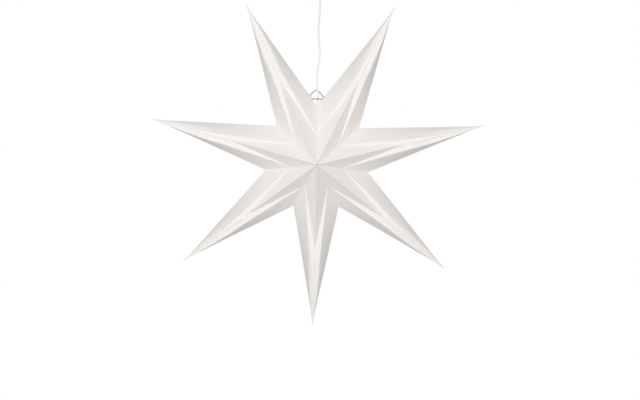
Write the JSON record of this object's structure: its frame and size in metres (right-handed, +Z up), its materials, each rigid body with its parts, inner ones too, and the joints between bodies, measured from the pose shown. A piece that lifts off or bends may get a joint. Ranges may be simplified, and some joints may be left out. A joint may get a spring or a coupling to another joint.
{
  "type": "paper advent star",
  "caption": "Folded white paper star with long pointed arms round a hidden lamp holder and bulb, closed by a steel wire ring and hung by its cord from a round ceiling cup.",
  "frame": {"origin": "middle of the ceiling plate's flat top face, where the fitting meets the ceiling", "axes": "+Z up, from the star to the ceiling; the star's front faces -Y; +X to the right as seen from the front"},
  "size_m": [0.5854, 0.1394, 0.655],
  "materials": {
    "paper": "matt uncoated white paper with crisp folds",
    "steel_wire": "bright drawn wire",
    "white_plastic": "satin moulded plastic",
    "plate_plastic": "matt moulded plastic",
    "cord_sheath": "soft satin sheath",
    "ceramic": "unglazed white ceramic",
    "brass": "pressed sheet brass",
    "opal_glass": "opal glass bulb"
  },
  "bodies": {
    "root": {"arm_1": "paper", "arm_2": "paper", "arm_3": "paper", "arm_4": "paper", "arm_5": "paper", "arm_6": "paper", "arm_7": "paper", "closing_ring": "steel_wire", "holder_cap": "white_plastic", "holder_body": "white_plastic", "contact_insert": "ceramic", "thread_sleeve": "brass", "middle_contact": "brass", "bulb": "opal_glass", "cord": "cord_sheath", "cord_grip": "white_plastic", "grip_nut": "white_plastic", "ceiling_cup": "white_plastic", "ceiling_plate": "plate_plastic", "terminal_block": "white_plastic", "terminal_screws": "brass"}
  },
  "joints": []
}
